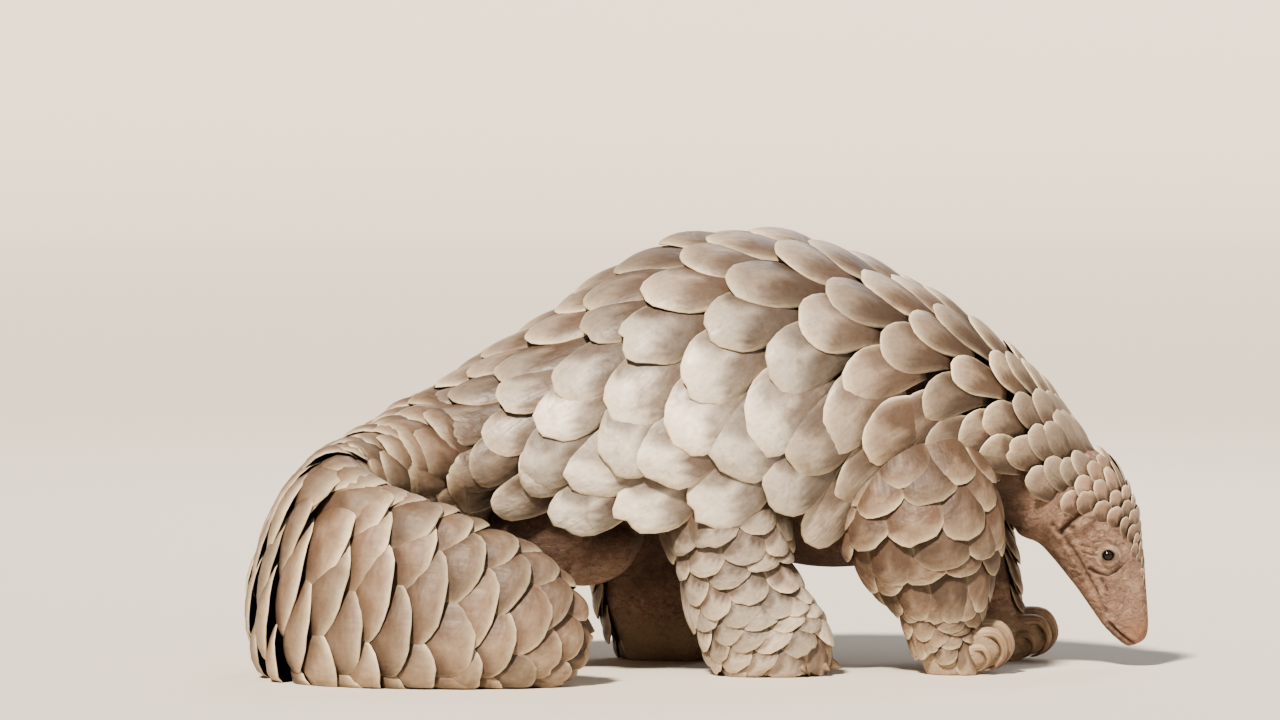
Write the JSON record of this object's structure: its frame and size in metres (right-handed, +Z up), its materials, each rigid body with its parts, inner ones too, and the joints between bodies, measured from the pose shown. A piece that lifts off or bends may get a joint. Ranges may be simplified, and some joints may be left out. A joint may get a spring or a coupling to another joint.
{
  "type": "ground pangolin",
  "caption": "Life-size still model of a ground pangolin walking head-down, tail curled to its right side, with overlapping scutes.",
  "frame": {"origin": "on the floor under the middle of the animal's box", "axes": "+X the way the animal faces, +Y its left, +Z up"},
  "size_m": [0.5192, 0.291, 0.2532],
  "materials": {
    "scute": "satin horn, worn and dusty",
    "skin": "matt wrinkled bare skin",
    "claw": "worn horn",
    "eye": "wet gloss"
  },
  "bodies": {
    "root": {"foreclaw_right_1": "claw", "foreclaw_right_2": "claw", "foreclaw_right_3": "claw", "foreclaw_right_4": "claw", "foreclaw_right_5": "claw", "foreleg_right": "scute", "forefoot_right": "skin", "foreclaw_left_1": "claw", "foreclaw_left_2": "claw", "foreclaw_left_3": "claw", "foreclaw_left_4": "claw", "foreclaw_left_5": "claw", "foreleg_left": "scute", "forefoot_left": "skin", "hindclaw_right_1": "claw", "hindclaw_right_2": "claw", "hindclaw_right_3": "claw", "hindclaw_right_4": "claw", "hindclaw_right_5": "claw", "hindleg_right": "scute", "hindfoot_right": "skin", "hindclaw_left_1": "claw", "hindclaw_left_2": "claw", "hindclaw_left_3": "claw", "hindclaw_left_4": "claw", "hindclaw_left_5": "claw", "hindleg_left": "scute", "hindfoot_left": "skin", "neck": "scute", "shoulders": "scute", "back": "scute", "hips": "scute", "tail_base": "scute", "tail_bend": "scute", "tail_side": "scute", "tail_end": "scute", "head": "skin", "eye_right": "eye", "ear_right": "skin", "eye_left": "eye", "ear_left": "skin"}
  },
  "joints": []
}
